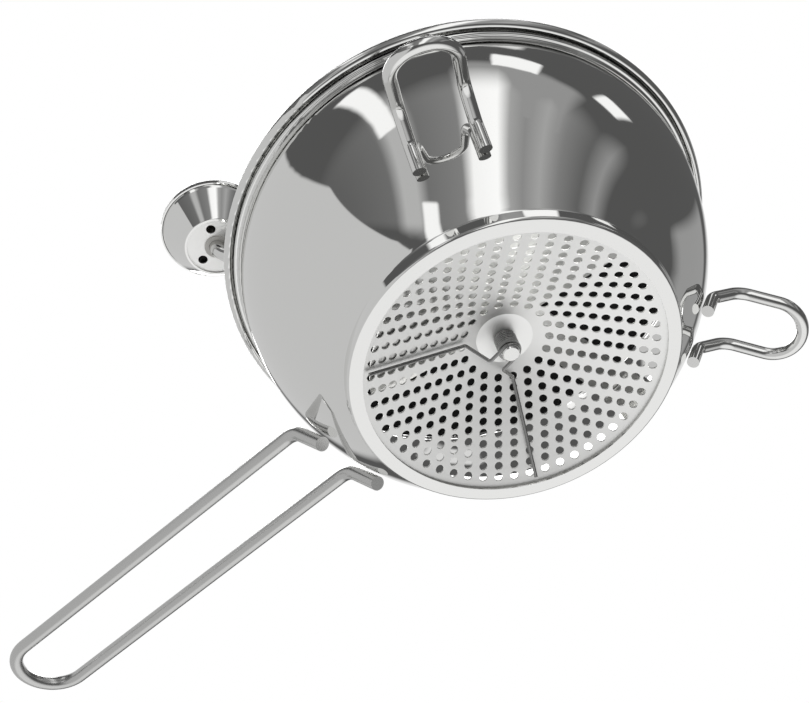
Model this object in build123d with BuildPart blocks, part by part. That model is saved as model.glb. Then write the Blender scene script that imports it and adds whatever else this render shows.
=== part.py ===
"""Rotary food mill: a spun steel bowl with a conical perforated disc, a spring-loaded crank
with a paddle above the disc and a wire scraper under it, a twist-in crossbar, a long looped
handle and two wire hooks that rest on a pot.

Frame: +Z up, origin on the bowl's axis in the plane of its bottom lip, long handle along +X.
Sizes are in millimetres.
"""

import os
from math import atan, cos, degrees, hypot, radians, sin

from build123d import *

# --- Driving dimensions -------------------------------------------------------------------

SHEET = 0.8  # bowl, disc and knob sheet thickness
FIT = 0.02  # clearance between pieces that are fixed to each other
RUN = 0.06  # radial clearance of a turning fit

LIP_INNER_R = 67.9  # opening that the disc lies over
COLLAR_FOOT_R = 74.5
COLLAR_HEAD = (75.3, 5.8)  # top of the short collar above the lip, radius and height
WALL_FOOT = (76.5, 7.0)  # where the curved wall begins, radius and height
WALL_HEAD = (113.2, 91.0)  # where it ends, under the rim
WALL_BULGE = 8.9  # how far the wall bows out from the straight line between them
SHELF_Z = 94.4  # step under the rim
RIM_COLLAR_R = 115.6
RIM_Z = 98.7  # height of the rolled bead's centre
BEAD_HOLLOW_R = 1.8

DISC_R = 73.0
DISC_FLAT_R = 71.6  # the disc is flat from here out, and a cone inwards
DISC_SLOPE = 0.4  # rise of the cone for each millimetre inwards
HUB_R = 13.0  # flat centre of the disc
HOLE_R = 1.9
HOLE_RINGS = 10
FIRST_RING_R = 20.0
RING_STEP = 4.87
FIRST_RING_HOLES = 18
HOLES_MORE_PER_RING = 4

ROD_R = 4.0  # crank rod, which is also the shaft and the knob's spindle
SHAFT_TIP_Z = 11.4
GROOVE_Z = (12.4, 14.2)
GROOVE_R = 3.2
ARM_ANGLE = 39.2  # direction of the crank arm at rest, from the long handle
ARM_REACH = 121.9
ARM_FOOT_Z = 112.0
ARM_HEAD_Z = 130.0
ARM_BEND_R = 11.0
SPINDLE_TOP_Z = 163.0

SPRING_CAP_R = 5.3
SPRING_CAP_H = 1.4
SPRING_WIRE_R = 0.5
SPRING_COIL_R = 4.65
SPRING_TURNS = 5

BLADE_R = 64.0
BLADE_SHEET = 1.2
BLADE_LIFT = 0.35  # gap between the blade's foot and the disc
BLADE_START = 30.6  # direction of the leading edge
BLADE_FOOT_ANGLE = 52.0  # direction of the line along which it lies on the disc
BLADE_END = 205.0
BLADE_HUB_R = 8.0
BLADE_HUB_TOP_Z = 56.0
PIN_R = 1.5
PIN_Z = 51.0

BAR_Z = 62.0  # underside of the crossbar at its ends
BAR_RISE = 5.0
BAR_W = 18.0
BAR_SHEET = 1.6
BAR_REACH = 104.0
BAR_FLAT = 30.0  # length of the level part at each end
BAR_HUMP = 22.0  # half length of the raised middle
BAR_ANGLE = 84.0  # direction of the crossbar when it is locked
BUSH_R = 7.0
BUSH_FLANGE_R = 10.0
CATCH_W = 21.4
CATCH_DEPTH = 9.0
CATCH_GAP = 0.5
CATCH_SHEET = 1.4

HANDLE_ROD_R = 3.5
HANDLE_HALF_W = 18.9
HANDLE_END_Z = 26.4
HANDLE_BEND = (110.4, 49.6)
HANDLE_TIP = (332.2, 66.0)  # far end of the loop's centreline, distance and height
HOOK_ROD_R = 2.9
HOOK_HALF_W = 14.2
HOOK_END_Z = 24.0
HOOK_BEND_Z = 35.5
HOOK_CREST = (116.5, 40.5)
HOOK_TIP = (145.5, 24.5)
LEFT_HOOK_ANGLE = 116.5
RIGHT_HOOK_ANGLE = 228.9

SCRAPER_ROD_R = 0.8
SCRAPER_KINK_R = 19.0
SCRAPER_REACH = 65.0
SCRAPER_ANGLES = (46.5, -58.5)
SCRAPER_GAP = 1.25  # between the wire and the disc's underside
SCRAPER_STRAIGHT = 9.0

KNOB_SEAM_Z = 157.3
KNOB_R = 27.7
KNOB_FOOT_Z = 138.7
KNOB_FOOT_R = 15.2
KNOB_DOME_H = 11.0
SEAM_LIP = 1.4
BRIM_R = 3.0  # rounding between the dome and its upright edge
KNOB_BUSH_R = 6.2
KNOB_BUSH_TOP_Z = 159.0
CLIP_R = 7.5
VENT_R = 2.4
VENT_CIRCLE_R = 10.4
VENTS = 3

os.makedirs("parts", exist_ok=True)


# --- Shared geometry ----------------------------------------------------------------------


def polar(radius, angle, z=0.0):
    """Point at a radius, direction in degrees and height."""
    return (radius * cos(radians(angle)), radius * sin(radians(angle)), z)


def disc_underside(radius):
    """Height of the cone's underside at a radius."""
    return SHEET + (DISC_FLAT_R - radius) * DISC_SLOPE


CONE_COS = cos(atan(DISC_SLOPE))
HUB_Z = disc_underside(HUB_R)  # underside of the disc's flat centre
DISC_RISE = SHEET / CONE_COS  # upright thickness of the cone's sheet
CAP_Z = GROOVE_Z[1]
BLADE_HUB_Z = HUB_Z + SHEET + BLADE_LIFT
BAR_TOP_Z = BAR_Z + BAR_RISE + BAR_SHEET

# Circle that carries the wall's outer surface: chord from foot to head, bowed out.
CHORD = hypot(WALL_HEAD[0] - WALL_FOOT[0], WALL_HEAD[1] - WALL_FOOT[1])
WALL_ARC_R = CHORD**2 / (8 * WALL_BULGE) + WALL_BULGE / 2
CHORD_DR = (WALL_HEAD[0] - WALL_FOOT[0]) / CHORD
CHORD_DZ = (WALL_HEAD[1] - WALL_FOOT[1]) / CHORD
WALL_CENTRE_R = (WALL_HEAD[0] + WALL_FOOT[0]) / 2 - CHORD_DZ * (WALL_ARC_R - WALL_BULGE)
WALL_CENTRE_Z = (WALL_HEAD[1] + WALL_FOOT[1]) / 2 + CHORD_DR * (WALL_ARC_R - WALL_BULGE)


def wall_radius(z, proud=0.0):
    """Radius, at a height, of the wall's outer surface moved out square to itself."""
    return WALL_CENTRE_R + ((WALL_ARC_R + proud) ** 2 - (z - WALL_CENTRE_Z) ** 2) ** 0.5


def beside_wall(z, half_width, rod_r, bow):
    """Distance along a leg's direction at which a rod of two legs stands against the wall."""
    return (wall_radius(z, rod_r + bow) ** 2 - half_width**2) ** 0.5


def looped_legs(half_width, leg, tip):
    """Corner points of a two-legged loop in the XZ direction, up one leg and down the other."""
    there = [(x, -half_width, z) for x, z in leg] + [(tip[0], -half_width, tip[1])]
    back = [(tip[0], half_width, tip[1])] + [(x, half_width, z) for x, z in reversed(leg)]
    return there + back


def bent_rod(points, bends, radius):
    """Round rod swept along straight runs joined by bends, one bend radius per inner corner."""
    with BuildLine() as path:
        FilletPolyline(*points, radius=bends)
    with BuildSketch(Plane(origin=path.line @ 0, z_dir=path.line % 0)) as section:
        Circle(radius)
    sweep(section.sketch, path=path.line)


# --- Bowl and what is fixed to it ----------------------------------------------------------

with BuildPart() as bowl:
    with BuildSketch(Plane.XZ) as bowl_section:
        with BuildLine():
            FilletPolyline(
                (LIP_INNER_R, 0), (COLLAR_FOOT_R, 0), COLLAR_HEAD, WALL_FOOT, radius=1.4
            )
            SagittaArc(WALL_FOOT, WALL_HEAD, -WALL_BULGE)
            FilletPolyline(
                WALL_HEAD,
                (WALL_HEAD[0] + 0.1, SHELF_Z),
                (RIM_COLLAR_R, SHELF_Z),
                (RIM_COLLAR_R, RIM_Z),
                radius=1.0,
            )
            CenterArc((RIM_COLLAR_R + BEAD_HOLLOW_R, RIM_Z), BEAD_HOLLOW_R, 180, -270)
            offset(amount=SHEET, side=Side.LEFT)
        make_face()
    revolve(axis=Axis.Z)
bowl.part.label = "bowl"
export_step(bowl.part, "parts/bowl.step")

with BuildPart() as grinding_disc:
    with BuildSketch(Plane.XZ) as disc_section:
        with BuildLine():
            Polyline(
                (ROD_R + RUN, HUB_Z),
                (HUB_R, HUB_Z),
                (DISC_FLAT_R, SHEET + FIT),
                (DISC_R, SHEET + FIT),
                (DISC_R, 2 * SHEET + FIT),
                (DISC_FLAT_R, SHEET + FIT + DISC_RISE),
                (HUB_R, HUB_Z + SHEET),
                (ROD_R + RUN, HUB_Z + SHEET),
                close=True,
            )
        make_face()
    revolve(axis=Axis.Z)
    with BuildSketch():
        for ring in range(HOLE_RINGS):
            holes = FIRST_RING_HOLES + HOLES_MORE_PER_RING * ring
            turn = (ring % 2) * 180 / holes
            with PolarLocations(FIRST_RING_R + RING_STEP * ring, holes, start_angle=turn):
                Circle(HOLE_R)
    extrude(amount=HUB_Z + 5, mode=Mode.SUBTRACT)
grinding_disc.part.label = "grinding_disc"
export_step(grinding_disc.part, "parts/grinding_disc.step")

with BuildPart() as long_handle:
    HANDLE_LEG = [
        (beside_wall(HANDLE_END_Z, HANDLE_HALF_W, HANDLE_ROD_R, 0.9), HANDLE_END_Z),
        HANDLE_BEND,
    ]
    bent_rod(
        looped_legs(HANDLE_HALF_W, HANDLE_LEG, HANDLE_TIP),
        [12, HANDLE_HALF_W - 0.1, HANDLE_HALF_W - 0.1, 12],
        HANDLE_ROD_R,
    )
long_handle.part.label = "long_handle"
export_step(long_handle.part, "parts/long_handle.step")


def rest_hook(angle):
    """U-shaped rod: up the wall, out over a crest and down to a rounded end."""
    leg = [
        (beside_wall(HOOK_END_Z, HOOK_HALF_W, HOOK_ROD_R, 0.6), HOOK_END_Z),
        (beside_wall(HOOK_BEND_Z, HOOK_HALF_W, HOOK_ROD_R, 0.6), HOOK_BEND_Z),
        HOOK_CREST,
    ]
    corners = looped_legs(HOOK_HALF_W, leg, HOOK_TIP)
    turned = [Vector(*corner).rotate(Axis.Z, angle) for corner in corners]
    bent_rod(turned, [6, 12, HOOK_HALF_W - 0.1, HOOK_HALF_W - 0.1, 12, 6], HOOK_ROD_R)


with BuildPart() as rest_hook_left:
    rest_hook(LEFT_HOOK_ANGLE)
rest_hook_left.part.label = "rest_hook_left"
export_step(rest_hook_left.part, "parts/rest_hook_left.step")

with BuildPart() as rest_hook_right:
    rest_hook(RIGHT_HOOK_ANGLE)
rest_hook_right.part.label = "rest_hook_right"
export_step(rest_hook_right.part, "parts/rest_hook_right.step")


def wall_catch(angle):
    """Bent clip on the inside of the wall that a crossbar end turns into, with an end stop."""
    low = BAR_Z - CATCH_GAP - CATCH_SHEET
    high = BAR_Z + BAR_SHEET + CATCH_GAP + CATCH_SHEET
    inner = BAR_REACH - CATCH_DEPTH
    with Locations(Location((0, 0, 0), (0, 0, angle))):
        with Locations((inner, 0, low)):
            Box(20, CATCH_W, high - low, align=(Align.MIN, Align.CENTER, Align.MIN))
        with Locations((inner, CATCH_SHEET, BAR_Z - CATCH_GAP)):
            Box(
                CATCH_DEPTH + CATCH_GAP,
                CATCH_W,
                BAR_SHEET + 2 * CATCH_GAP,
                align=(Align.MIN, Align.CENTER, Align.MIN),
                mode=Mode.SUBTRACT,
            )
    inside = -SHEET - FIT
    foot = (wall_radius(BAR_Z - 10, inside), BAR_Z - 10)
    middle = (wall_radius(BAR_Z, inside), BAR_Z)
    head = (wall_radius(BAR_Z + 10, inside), BAR_Z + 10)
    with BuildSketch(Plane.XZ) as interior:
        with BuildLine():
            ThreePointArc(foot, middle, head)
            Polyline(head, (0, BAR_Z + 10), (0, BAR_Z - 10), foot)
        make_face()
    revolve(interior.sketch, axis=Axis.Z, mode=Mode.INTERSECT)


with BuildPart() as catch_near:
    wall_catch(BAR_ANGLE)
catch_near.part.label = "catch_near"
export_step(catch_near.part, "parts/catch_near.step")

with BuildPart() as catch_far:
    wall_catch(BAR_ANGLE + 180)
catch_far.part.label = "catch_far"
export_step(catch_far.part, "parts/catch_far.step")

# --- Crossbar ------------------------------------------------------------------------------

with BuildPart() as crossbar:
    with BuildSketch(Plane.XZ.rotated((0, 0, BAR_ANGLE))):
        with BuildLine():
            FilletPolyline(
                (-BAR_REACH, BAR_Z),
                (BAR_FLAT - BAR_REACH, BAR_Z),
                (-BAR_HUMP, BAR_Z + BAR_RISE),
                (BAR_HUMP, BAR_Z + BAR_RISE),
                (BAR_REACH - BAR_FLAT, BAR_Z),
                (BAR_REACH, BAR_Z),
                radius=6,
            )
            offset(amount=BAR_SHEET, side=Side.LEFT)
        make_face()
    extrude(amount=BAR_W / 2, both=True)
    Cylinder(BAR_REACH, 2 * BAR_TOP_Z, mode=Mode.INTERSECT)
    Cylinder(BUSH_R + FIT, 2 * BAR_TOP_Z, mode=Mode.SUBTRACT)
crossbar.part.label = "crossbar"
export_step(crossbar.part, "parts/crossbar.step")

with BuildPart() as crossbar_bush:
    with Locations((0, 0, BAR_Z)):
        Cylinder(BUSH_R, 12, align=(Align.CENTER, Align.CENTER, Align.MIN))
    with Locations((0, 0, BAR_TOP_Z + FIT)):
        Cylinder(BUSH_FLANGE_R, 1.6, align=(Align.CENTER, Align.CENTER, Align.MIN))
    fillet(crossbar_bush.edges().group_by(Axis.Z)[-1], 0.6)
    with Locations((0, 0, BAR_Z)):
        Cylinder(ROD_R + RUN, 30, mode=Mode.SUBTRACT)
crossbar_bush.part.label = "crossbar_bush"
export_step(crossbar_bush.part, "parts/crossbar_bush.step")

# --- Crank, paddle and scraper -------------------------------------------------------------

with BuildPart() as crank_rod:
    bent_rod(
        [
            (0, 0, SHAFT_TIP_Z),
            (0, 0, ARM_FOOT_Z),
            polar(ARM_REACH, ARM_ANGLE, ARM_HEAD_Z),
            polar(ARM_REACH, ARM_ANGLE, SPINDLE_TOP_Z),
        ],
        ARM_BEND_R,
        ROD_R,
    )
    chamfer(crank_rod.edges().group_by(Axis.Z)[0], 0.5)
    with Locations((0, 0, GROOVE_Z[0])):
        with Locations((0, 0, (GROOVE_Z[1] - GROOVE_Z[0]) / 2)):
            Cylinder(ROD_R + 1, GROOVE_Z[1] - GROOVE_Z[0], mode=Mode.SUBTRACT)
            Cylinder(GROOVE_R, GROOVE_Z[1] - GROOVE_Z[0])
    with Locations(Location((0, 0, PIN_Z), (90, 0, 0))):
        Cylinder(PIN_R + FIT, 4 * ROD_R, mode=Mode.SUBTRACT)
crank_rod.part.label = "crank_rod"
export_step(crank_rod.part, "parts/crank_rod.step")


with BuildPart() as blade:
    # Flat sheet that touches the cone along one line and so climbs away from it on both sides.
    FOOT_Z = disc_underside(0) + DISC_RISE + BLADE_LIFT / CONE_COS
    tilt = Plane(
        origin=(0, 0, FOOT_Z),
        x_dir=polar(1, BLADE_FOOT_ANGLE, -DISC_SLOPE),
        z_dir=polar(DISC_SLOPE, BLADE_FOOT_ANGLE, 1),
    )
    with BuildSketch(tilt):
        Rectangle(3 * BLADE_R, 3 * BLADE_R)
    extrude(amount=BLADE_SHEET)
    Cylinder(BLADE_R, 300, mode=Mode.INTERSECT)
    with BuildSketch() as sector:
        with BuildLine():
            Line((0, 0), polar(2 * BLADE_R, BLADE_START)[:2])
            CenterArc((0, 0), 2 * BLADE_R, BLADE_START, BLADE_END - BLADE_START)
            Line(polar(2 * BLADE_R, BLADE_END)[:2], (0, 0))
        make_face()
    extrude(sector.sketch, amount=200, mode=Mode.INTERSECT)
    Cylinder(BLADE_HUB_R + FIT, 300, mode=Mode.SUBTRACT)
blade.part.label = "blade"
export_step(blade.part, "parts/blade.step")

with BuildPart() as blade_hub:
    with Locations((0, 0, BLADE_HUB_Z)):
        Cylinder(
            BLADE_HUB_R, BLADE_HUB_TOP_Z - BLADE_HUB_Z, align=(Align.CENTER, Align.CENTER, Align.MIN)
        )
    chamfer(blade_hub.edges().group_by(Axis.Z)[-1], 0.8)
    Cylinder(ROD_R + FIT, 200, mode=Mode.SUBTRACT)
    with Locations(Location((0, 0, PIN_Z), (90, 0, 0))):
        Cylinder(PIN_R + FIT, 4 * BLADE_HUB_R, mode=Mode.SUBTRACT)
blade_hub.part.label = "blade_hub"
export_step(blade_hub.part, "parts/blade_hub.step")

with BuildPart() as hub_pin:
    with Locations(Location((0, 0, PIN_Z), (90, 0, 0))):
        Cylinder(PIN_R, 2 * BLADE_HUB_R + 1.6)
    chamfer(hub_pin.edges(), 0.3)
hub_pin.part.label = "hub_pin"
export_step(hub_pin.part, "parts/hub_pin.step")

with BuildPart() as scraper_wire:
    AHEAD = sum(SCRAPER_ANGLES) / 2
    WIRE_Z = (GROOVE_Z[0] + GROOVE_Z[1]) / 2
    LOOP_R = GROOVE_R + SCRAPER_ROD_R + FIT
    DROP = (SCRAPER_GAP + SCRAPER_ROD_R) / CONE_COS
    KINK_Z = disc_underside(SCRAPER_KINK_R) - DROP
    END_Z = disc_underside(SCRAPER_REACH) - DROP
    LEGS = []
    for side, heading in zip((90, -90), SCRAPER_ANGLES):
        start = Vector(*polar(LOOP_R, AHEAD + side, WIRE_Z))
        LEGS.append(
            [
                start,
                start + Vector(*polar(SCRAPER_STRAIGHT, AHEAD)),
                Vector(*polar(SCRAPER_KINK_R, heading, KINK_Z)),
                Vector(*polar(SCRAPER_REACH, heading, END_Z)),
            ]
        )
    with BuildLine() as wire_path:
        FilletPolyline(*reversed(LEGS[0]), radius=1.5)
        ThreePointArc(LEGS[0][0], polar(LOOP_R, AHEAD + 180, WIRE_Z), LEGS[1][0])
        FilletPolyline(*LEGS[1], radius=1.5)
    with BuildSketch(Plane(origin=wire_path.line @ 0, z_dir=wire_path.line % 0)):
        Circle(SCRAPER_ROD_R)
    sweep(path=wire_path.line)
scraper_wire.part.label = "scraper_wire"
export_step(scraper_wire.part, "parts/scraper_wire.step")

with BuildPart() as spring_cap:
    with Locations((0, 0, CAP_Z)):
        Cylinder(SPRING_CAP_R, SPRING_CAP_H, align=(Align.CENTER, Align.CENTER, Align.MIN))
    fillet(spring_cap.edges().group_by(Axis.Z)[0], 0.4)
    Cylinder(ROD_R + RUN, 200, mode=Mode.SUBTRACT)
spring_cap.part.label = "spring_cap"
export_step(spring_cap.part, "parts/spring_cap.step")

with BuildPart() as shaft_spring:
    SPRING_FOOT_Z = CAP_Z + SPRING_CAP_H + SPRING_WIRE_R + FIT
    SPRING_HEAD_Z = HUB_Z - SPRING_WIRE_R - FIT
    SPRING_H = SPRING_HEAD_Z - SPRING_FOOT_Z
    with BuildLine() as coil:
        Helix(SPRING_H / SPRING_TURNS, SPRING_H, SPRING_COIL_R, center=(0, 0, SPRING_FOOT_Z))
    with BuildSketch(Plane(origin=coil.line @ 0, z_dir=coil.line % 0)):
        Circle(SPRING_WIRE_R)
    sweep(path=coil.line, is_frenet=True)
shaft_spring.part.label = "shaft_spring"
export_step(shaft_spring.part, "parts/shaft_spring.step")

# --- Knob ----------------------------------------------------------------------------------

KNOB_AXIS = polar(ARM_REACH, ARM_ANGLE)


def knob_turned(section):
    """Revolves a section drawn about the frame's axis and carries it to the knob's axis."""
    with Locations(KNOB_AXIS):
        add(revolve(section.sketch, axis=Axis.Z, mode=Mode.PRIVATE))


with BuildPart() as knob_cone:
    with BuildSketch(Plane.XZ) as cone_section:
        with BuildLine():
            FilletPolyline(
                (KNOB_FOOT_R, KNOB_FOOT_Z),
                (KNOB_FOOT_R + 1.2, KNOB_FOOT_Z),
                (KNOB_R - 1.6, KNOB_SEAM_Z - 3.4),
                (KNOB_R - SHEET, KNOB_SEAM_Z - SHEET),
                (KNOB_R - SEAM_LIP - SHEET, KNOB_SEAM_Z - SHEET),
                radius=0.5,
            )
            offset(amount=SHEET, side=Side.LEFT)
        make_face()
    knob_turned(cone_section)
knob_cone.part.label = "knob_cone"
export_step(knob_cone.part, "parts/knob_cone.step")

with BuildPart() as knob_dome:
    CROWN_H = KNOB_DOME_H - BRIM_R / 4
    CAP_R = ((KNOB_R - BRIM_R) ** 2 + CROWN_H**2 - BRIM_R**2) / (2 * (CROWN_H - BRIM_R))
    BRIM_TURN = degrees(atan((CAP_R - CROWN_H) / (KNOB_R - BRIM_R)))
    with BuildSketch(Plane.XZ) as dome_section:
        with BuildLine():
            brim_z = KNOB_SEAM_Z + BRIM_R / 4
            Line((KNOB_R, KNOB_SEAM_Z - SEAM_LIP), (KNOB_R, brim_z))
            brim = JernArc((KNOB_R, brim_z), (0, 1), BRIM_R, BRIM_TURN)
            JernArc(brim @ 1, brim % 1, CAP_R, 90 - BRIM_TURN)
            offset(amount=SHEET - FIT, side=Side.LEFT)
        make_face()
    knob_turned(dome_section)
knob_dome.part.label = "knob_dome"
export_step(knob_dome.part, "parts/knob_dome.step")

with BuildPart() as knob_base:
    with Locations((*KNOB_AXIS[:2], KNOB_FOOT_Z + SHEET + FIT)):
        Cylinder(KNOB_FOOT_R + 0.3, SHEET, align=(Align.CENTER, Align.CENTER, Align.MIN))
        Cylinder(KNOB_BUSH_R + FIT, 4, mode=Mode.SUBTRACT)
        with PolarLocations(VENT_CIRCLE_R, VENTS):
            Cylinder(VENT_R, 4, mode=Mode.SUBTRACT)
knob_base.part.label = "knob_base"
export_step(knob_base.part, "parts/knob_base.step")

with BuildPart() as knob_bush:
    with Locations((*KNOB_AXIS[:2], KNOB_FOOT_Z)):
        Cylinder(
            KNOB_BUSH_R, KNOB_BUSH_TOP_Z - KNOB_FOOT_Z, align=(Align.CENTER, Align.CENTER, Align.MIN)
        )
        Cylinder(ROD_R + RUN, 80, mode=Mode.SUBTRACT)
knob_bush.part.label = "knob_bush"
export_step(knob_bush.part, "parts/knob_bush.step")

with BuildPart() as spindle_clip:
    with Locations((*KNOB_AXIS[:2], KNOB_BUSH_TOP_Z + 2 * RUN)):
        Cylinder(CLIP_R, SEAM_LIP, align=(Align.CENTER, Align.CENTER, Align.MIN))
        Cylinder(ROD_R + FIT, 80, mode=Mode.SUBTRACT)
spindle_clip.part.label = "spindle_clip"
export_step(spindle_clip.part, "parts/spindle_clip.step")
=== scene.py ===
import math

import bpy
from mathutils import Matrix, Vector


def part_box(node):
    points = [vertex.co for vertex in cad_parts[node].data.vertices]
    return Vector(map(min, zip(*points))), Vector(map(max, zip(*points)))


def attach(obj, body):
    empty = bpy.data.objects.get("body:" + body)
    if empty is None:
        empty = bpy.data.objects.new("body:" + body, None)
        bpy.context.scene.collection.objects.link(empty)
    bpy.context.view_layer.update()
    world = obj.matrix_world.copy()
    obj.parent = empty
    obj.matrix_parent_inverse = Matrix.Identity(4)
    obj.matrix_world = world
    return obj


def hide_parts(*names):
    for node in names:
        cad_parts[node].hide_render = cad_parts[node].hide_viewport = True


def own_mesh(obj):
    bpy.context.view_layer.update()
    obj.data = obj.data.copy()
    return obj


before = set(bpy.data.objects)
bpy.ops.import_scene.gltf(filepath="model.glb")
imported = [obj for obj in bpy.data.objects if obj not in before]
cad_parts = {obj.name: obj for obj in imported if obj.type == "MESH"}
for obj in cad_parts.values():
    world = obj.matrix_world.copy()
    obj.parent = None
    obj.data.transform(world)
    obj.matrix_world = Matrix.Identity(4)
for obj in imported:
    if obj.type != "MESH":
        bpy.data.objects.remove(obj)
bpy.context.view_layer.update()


# --- Materials ----------------------------------------------------------------------------

BOWL_GREY = 0.82
WARMTH = 0.985  # blue against red and green
CLOUD_SCALE = 22.0  # unevenness of the polish
CLOUD_DETAIL = 3.0
GRAIN_DEPTH = 0.0002


def steel(name, colour, rough, grain=0.0, scale=400.0, smear=0.04, stretch=(1, 1, 1)):
    """Metal with a soft procedural unevenness of polish and, if asked, a fine grain."""
    mat = bpy.data.materials.new(name)
    mat.use_nodes = True
    nodes, links = mat.node_tree.nodes, mat.node_tree.links
    shader = nodes["Principled BSDF"]
    shader.inputs["Base Color"].default_value = (colour, colour, colour * WARMTH, 1)
    shader.inputs["Metallic"].default_value = 1.0
    coords = nodes.new("ShaderNodeTexCoord")
    spread = nodes.new("ShaderNodeMapping")
    spread.inputs["Scale"].default_value = stretch
    cloud = nodes.new("ShaderNodeTexNoise")
    cloud.inputs["Scale"].default_value = CLOUD_SCALE
    cloud.inputs["Detail"].default_value = CLOUD_DETAIL
    polish = nodes.new("ShaderNodeMapRange")
    polish.inputs["To Min"].default_value = max(rough - smear, 0.01)
    polish.inputs["To Max"].default_value = rough + smear
    links.new(coords.outputs["Object"], spread.inputs["Vector"])
    links.new(coords.outputs["Object"], cloud.inputs["Vector"])
    links.new(cloud.outputs["Fac"], polish.inputs["Value"])
    links.new(polish.outputs["Result"], shader.inputs["Roughness"])
    if grain:
        lines = nodes.new("ShaderNodeTexNoise")
        lines.inputs["Scale"].default_value = scale
        bump = nodes.new("ShaderNodeBump")
        bump.inputs["Strength"].default_value = grain
        bump.inputs["Distance"].default_value = GRAIN_DEPTH
        links.new(spread.outputs["Vector"], lines.inputs["Vector"])
        links.new(lines.outputs["Fac"], bump.inputs["Height"])
        links.new(bump.outputs["Normal"], shader.inputs["Normal"])
    return mat


MIRROR = steel("mirror_steel", BOWL_GREY, 0.035, smear=0.012)
PALE = steel("pale_steel", 0.93, 0.42, grain=0.06, scale=500)
SATIN = steel("satin_rod", 0.6, 0.25, grain=0.02, scale=90, stretch=(0.2, 3, 3))
ROD = steel("polished_rod", 0.8, 0.08, smear=0.02)
STRIP = steel("strip_steel", 0.72, 0.3, grain=0.06, scale=300, stretch=(6, 0.3, 6))
PADDLE = steel("paddle_steel", 0.9, 0.33, grain=0.05, scale=300)
WIRE = steel("wire_steel", 0.3, 0.24, smear=0.03)
KNOB = steel("knob_steel", 0.83, 0.05, smear=0.015)

NYLON = bpy.data.materials.new("pale_nylon")
NYLON.use_nodes = True
nylon_shader = NYLON.node_tree.nodes["Principled BSDF"]
nylon_shader.inputs["Base Color"].default_value = (0.62, 0.61, 0.58, 1)
nylon_shader.inputs["Roughness"].default_value = 0.5
nylon_noise = NYLON.node_tree.nodes.new("ShaderNodeTexNoise")
nylon_noise.inputs["Scale"].default_value = 300
nylon_bump = NYLON.node_tree.nodes.new("ShaderNodeBump")
nylon_bump.inputs["Strength"].default_value = 0.05
NYLON.node_tree.links.new(nylon_noise.outputs["Fac"], nylon_bump.inputs["Height"])
NYLON.node_tree.links.new(nylon_bump.outputs["Normal"], nylon_shader.inputs["Normal"])

FINISH = {
    "bowl": MIRROR,
    "grinding_disc": PALE,
    "long_handle": SATIN,
    "rest_hook_left": ROD,
    "rest_hook_right": ROD,
    "catch_near": STRIP,
    "catch_far": STRIP,
    "crossbar": STRIP,
    "crossbar_bush": STRIP,
    "crank_rod": ROD,
    "blade": PADDLE,
    "blade_hub": PADDLE,
    "hub_pin": WIRE,
    "scraper_wire": WIRE,
    "spring_cap": WIRE,
    "shaft_spring": WIRE,
    "knob_cone": KNOB,
    "knob_dome": KNOB,
    "knob_base": PALE,
    "knob_bush": NYLON,
    "spindle_clip": WIRE,
}
for node, finish in FINISH.items():
    piece = bpy.data.objects[node]
    piece.data.materials.clear()
    piece.data.materials.append(finish)

# --- Spring: a coil wound to the CAD spring's size, in its place ----------------------------

WIRE_R = 0.0005
TURNS = 6.5
FLAT_TURNS = 0.8  # closed coils at each end
OPEN_TURNS = TURNS - 2 * FLAT_TURNS
AROUND = 14  # points round the wire
STEPS = 260  # rings of points along the coil
spring_low, spring_high = (Vector(corner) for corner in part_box("shaft_spring"))
coil_r = (spring_high.x - spring_low.x) / 2 - WIRE_R
height = spring_high.z - spring_low.z
closed = 2 * WIRE_R * FLAT_TURNS
points, faces = [], []
for step in range(STEPS + 1):
    turn = TURNS * step / STEPS
    middle = min(max(turn - FLAT_TURNS, 0), OPEN_TURNS) / OPEN_TURNS
    ends = min(turn, FLAT_TURNS) + max(turn - TURNS + FLAT_TURNS, 0)
    rise_z = 2 * WIRE_R * ends + middle * (height - 2 * WIRE_R - 2 * closed)
    angle = 2 * math.pi * turn
    for spoke in range(AROUND):
        lean = 2 * math.pi * spoke / AROUND
        reach = coil_r + WIRE_R * math.cos(lean)
        points.append(
            (
                reach * math.cos(angle),
                reach * math.sin(angle),
                spring_low.z + WIRE_R + rise_z + WIRE_R * math.sin(lean),
            )
        )
for step in range(STEPS):
    for spoke in range(AROUND):
        here, there = step * AROUND, (step + 1) * AROUND
        after = (spoke + 1) % AROUND
        faces.append((here + spoke, there + spoke, there + after, here + after))
faces.append(tuple(range(AROUND)))
faces.append(tuple(STEPS * AROUND + spoke for spoke in reversed(range(AROUND))))
coil_mesh = bpy.data.meshes.new("spring_coil")
coil_mesh.from_pydata(points, [], faces)
coil_mesh.validate()
for face in coil_mesh.polygons:
    face.use_smooth = len(face.vertices) == 4
coil = bpy.data.objects.new("spring_coil", coil_mesh)
bpy.context.scene.collection.objects.link(coil)
coil_mesh.materials.append(WIRE)
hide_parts("shaft_spring")
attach(coil, "bowl")
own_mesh(coil)

# --- Floor, light and camera --------------------------------------------------------------

FLOOR_SIZE = 6
FLOOR_Z = -0.0004
CARD_R = 0.1125
CARD_Z = 0.096
LENS_MM = 57.85
SENSOR_MM = 36
GAMMA = 2.2
AMBIENT = 0.1
WALL_LEVEL = 0.62


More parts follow.
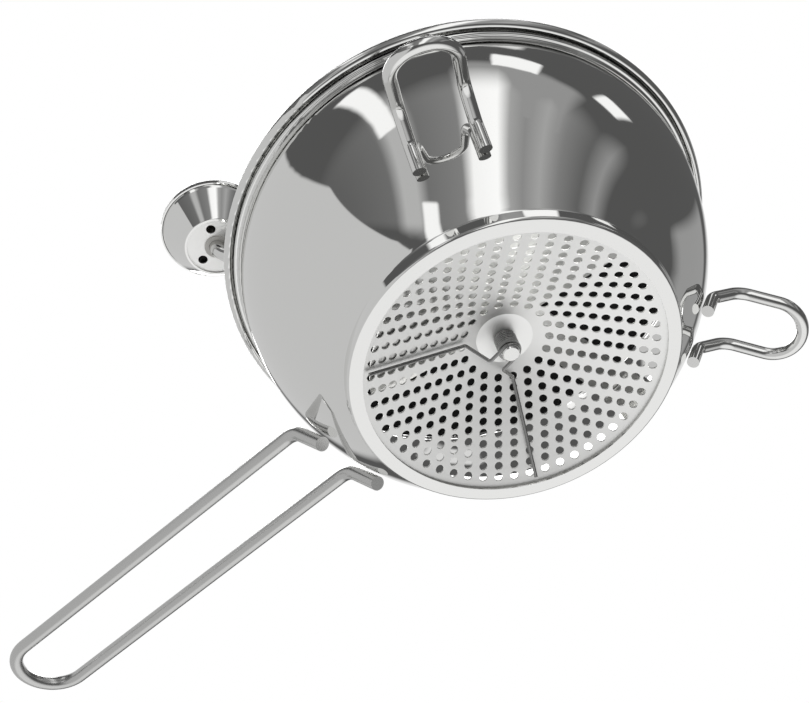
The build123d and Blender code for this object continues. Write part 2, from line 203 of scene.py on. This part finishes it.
def one_sided(name, grey, rough):
    """Plain matt material on the front of a face, and clear from behind."""
    mat = bpy.data.materials.new(name)
    mat.use_nodes = True
    nodes, links = mat.node_tree.nodes, mat.node_tree.links
    shader = nodes["Principled BSDF"]
    shader.inputs["Base Color"].default_value = (grey, grey, grey, 1)
    shader.inputs["Roughness"].default_value = rough
    side = nodes.new("ShaderNodeNewGeometry")
    clear = nodes.new("ShaderNodeBsdfTransparent")
    choose = nodes.new("ShaderNodeMixShader")
    links.new(side.outputs["Backfacing"], choose.inputs[0])
    links.new(shader.outputs[0], choose.inputs[1])
    links.new(clear.outputs[0], choose.inputs[2])
    links.new(choose.outputs[0], nodes["Material Output"].inputs["Surface"])
    return mat


def stage_only(obj):
    """Sets a stage piece to be seen by the camera and passed by the light."""
    obj.visible_diffuse = False
    obj.visible_glossy = False
    obj.visible_transmission = False
    obj.visible_shadow = False


# The photo's camera is below the base, so the floor is seen only from above.
bpy.ops.mesh.primitive_plane_add(size=FLOOR_SIZE, location=(0, 0, FLOOR_Z))
floor = bpy.context.object
floor.name = "floor"
stage_only(floor)
floor.data.materials.append(one_sided("pale_floor", 0.86, 0.8))

# A dark card in the bowl's mouth, seen only by the camera and only from below. It stands in
# for the shade inside the upturned bowl, without which the disc's holes show white.
bpy.ops.mesh.primitive_circle_add(
    vertices=96,
    radius=CARD_R,
    fill_type="NGON",
    location=(0, 0, CARD_Z),
    rotation=(math.pi, 0, 0),
)
card = bpy.context.object
card.name = "card"
card.data.materials.append(one_sided("dark_card", 0.01, 0.9))
stage_only(card)

# Where the photo was taken from, in metres, and which way it looks.
CAM_AT = Vector((-0.1276, 0.3310, -0.4395))
FORWARD = Vector((0.2816, -0.5231, 0.8045)).normalized()
RIGHT = Vector((-0.7273, -0.6633, -0.1767)).normalized()
UP = RIGHT.cross(FORWARD).normalized()
RIGHT = FORWARD.cross(UP)

world = bpy.data.worlds.new("studio")
bpy.context.scene.world = world
world.use_nodes = True
sky, join = world.node_tree.nodes, world.node_tree.links
sky.clear()
out = sky.new("ShaderNodeOutputWorld")
ray = sky.new("ShaderNodeLightPath")
where = sky.new("ShaderNodeTexCoord")


def maths(kind, a, b):
    """One arithmetic node, on numbers or sockets."""
    node = sky.new("ShaderNodeMath")
    node.operation = kind
    for socket, value in zip(node.inputs, (a, b)):
        if isinstance(value, (int, float)):
            socket.default_value = value
        else:
            join.new(value, socket)
    return node.outputs[0]


def part_along(direction):
    """Cosine between the ray and a direction."""
    dot = sky.new("ShaderNodeVectorMath")
    dot.operation = "DOT_PRODUCT"
    join.new(where.outputs["Generated"], dot.inputs[0])
    dot.inputs[1].default_value = direction
    return dot.outputs["Value"]


def rise(value, low, high):
    """0 below low, 1 above high."""
    ramp = sky.new("ShaderNodeMapRange")
    ramp.interpolation_type = "SMOOTHSTEP"
    ramp.inputs["From Min"].default_value = low
    ramp.inputs["From Max"].default_value = high
    join.new(value, ramp.inputs["Value"])
    return ramp.outputs["Result"]


def fall(value, low, high):
    """1 below low, 0 above high."""
    return rise(maths("MULTIPLY", value, -1), -high, -low)


def between(value, low, high, soft):
    """1 from low to high, fading to 0 over soft on each side."""
    below_high = fall(value, high, high + soft)
    return maths("MULTIPLY", rise(value, low - soft, low), below_high)


def pane(across_span, upright_span, facing_span, soft, level):
    """A soft-edged lit rectangle in the studio, by its spans of the three cosines."""
    lit = between(across, *across_span, soft)
    lit = maths("MULTIPLY", lit, between(upright, *upright_span, soft))
    lit = maths("MULTIPLY", lit, between(facing, *facing_span, soft))
    return maths("MULTIPLY", lit, level)


def lobe(right, up, back, near, far, level):
    """A round glow about a direction given in right, up and towards-the-camera parts."""
    direction = (RIGHT * right + UP * up - FORWARD * back).normalized()
    return maths("MULTIPLY", rise(part_along(direction), near, far), level)


across, upright, facing = part_along(RIGHT), part_along(UP), part_along(-FORWARD)

# Strip lights above the bowl: sideways cosine, and the grey that the bowl shows there.
STRIPS = [
    (-0.9, 0.36),
    (-0.62, 0.42),
    (-0.55, 0.68),
    (-0.46, 0.68),
    (-0.38, 0.43),
    (-0.12, 0.49),
    (-0.04, 0.95),
    (0.14, 0.98),
    (0.22, 0.62),
    (0.32, 0.53),
    (0.44, 0.62),
    (0.56, 0.48),
    (0.7, 0.37),
    (0.79, 0.55),
    (0.86, 0.3),
    (0.92, 0.24),
    (0.97, 0.42),
]
strips = sky.new("ShaderNodeValToRGB")
while len(strips.color_ramp.elements) < len(STRIPS):
    strips.color_ramp.elements.new(0.5)
for stop, (at, grey) in zip(strips.color_ramp.elements, STRIPS):
    stop.position = at / 2 + 0.5
    level = grey**GAMMA / BOWL_GREY
    stop.color = (level, level, level, 1)
join.new(maths("ADD", maths("MULTIPLY", across, 0.5), 0.5), strips.inputs["Fac"])
# The strips fade out towards the horizon and away from the camera.
overhead = maths("MULTIPLY", rise(upright, 0.12, 0.3), rise(facing, -0.3, 0.15))
# The wall fills the lower left, under a slanting edge.
slant = maths("ADD", upright, maths("MULTIPLY", facing, 0.5))
wall = maths("MULTIPLY", fall(slant, 0.515, 0.535), WALL_LEVEL)
wall = maths("MULTIPLY", wall, fall(upright, 0.44, 0.47))
wall = maths("MULTIPLY", wall, fall(across, -0.34, -0.22))
GLOW = [
    maths("MULTIPLY", strips.outputs["Color"], overhead),
    wall,
    lobe(0.28, -0.9, 0.3, 0.5, 0.9, 0.95),
    lobe(0.15, -0.1, -1.0, 0.9, 0.97, 0.8),
    pane((-0.58, -0.5), (0.5, 1.0), (-0.35, 0.25), 0.04, 1.1),
    pane((0.12, 0.32), (0.8, 1.0), (-0.3, -0.18), 0.03, 1.1),
    pane((0.02, 0.2), (0.7, 1.0), (-0.62, -0.46), 0.05, 0.8),
    pane((0.59, 0.67), (0.5, 0.8), (-0.38, -0.27), 0.03, 1.1),
    pane((0.0, 0.5), (0.7, 1.0), (-0.15, 0.3), 0.12, 0.34),
    pane((0.6, 0.9), (-0.2, 0.15), (-0.8, -0.3), 0.1, 0.35),
    pane((-0.42, -0.34), (0.2, 0.42), (0.75, 1.0), 0.04, 1.1),
]
light = maths("MAXIMUM", AMBIENT, GLOW[0])
for glow in GLOW[1:]:
    light = maths("MAXIMUM", light, glow)
studio = sky.new("ShaderNodeBackground")
studio.inputs["Strength"].default_value = 1.0
join.new(light, studio.inputs["Color"])
white = sky.new("ShaderNodeBackground")
white.inputs["Color"].default_value = (1, 1, 1, 1)
pick = sky.new("ShaderNodeMixShader")
join.new(ray.outputs["Is Camera Ray"], pick.inputs[0])
join.new(studio.outputs[0], pick.inputs[1])
join.new(white.outputs[0], pick.inputs[2])
join.new(pick.outputs[0], out.inputs["Surface"])


def softbox(name, at, size, power, target=(0, 0, 0.05)):
    """An area light of some watts, turned to the target."""
    lamp = bpy.data.lights.new(name, "AREA")
    lamp.shape = "RECTANGLE"
    lamp.size, lamp.size_y = size
    lamp.energy = power
    obj = bpy.data.objects.new(name, lamp)
    obj.location = at
    obj.rotation_euler = (Vector(target) - Vector(at)).to_track_quat("-Z", "Y").to_euler()
    bpy.context.scene.collection.objects.link(obj)


softbox("top", (0.3, -0.4, 1.3), (0.8, 0.8), 8)

cam = bpy.data.cameras.new("camera")
cam.lens = LENS_MM
cam.sensor_width = SENSOR_MM
cam.clip_start = 0.01
cam_obj = bpy.data.objects.new("camera", cam)
bpy.context.scene.collection.objects.link(cam_obj)
turned = Matrix((RIGHT, UP, -FORWARD)).transposed().to_4x4()
cam_obj.matrix_world = Matrix.Translation(CAM_AT) @ turned
bpy.context.scene.camera = cam_obj
bpy.context.scene.view_settings.view_transform = "Standard"
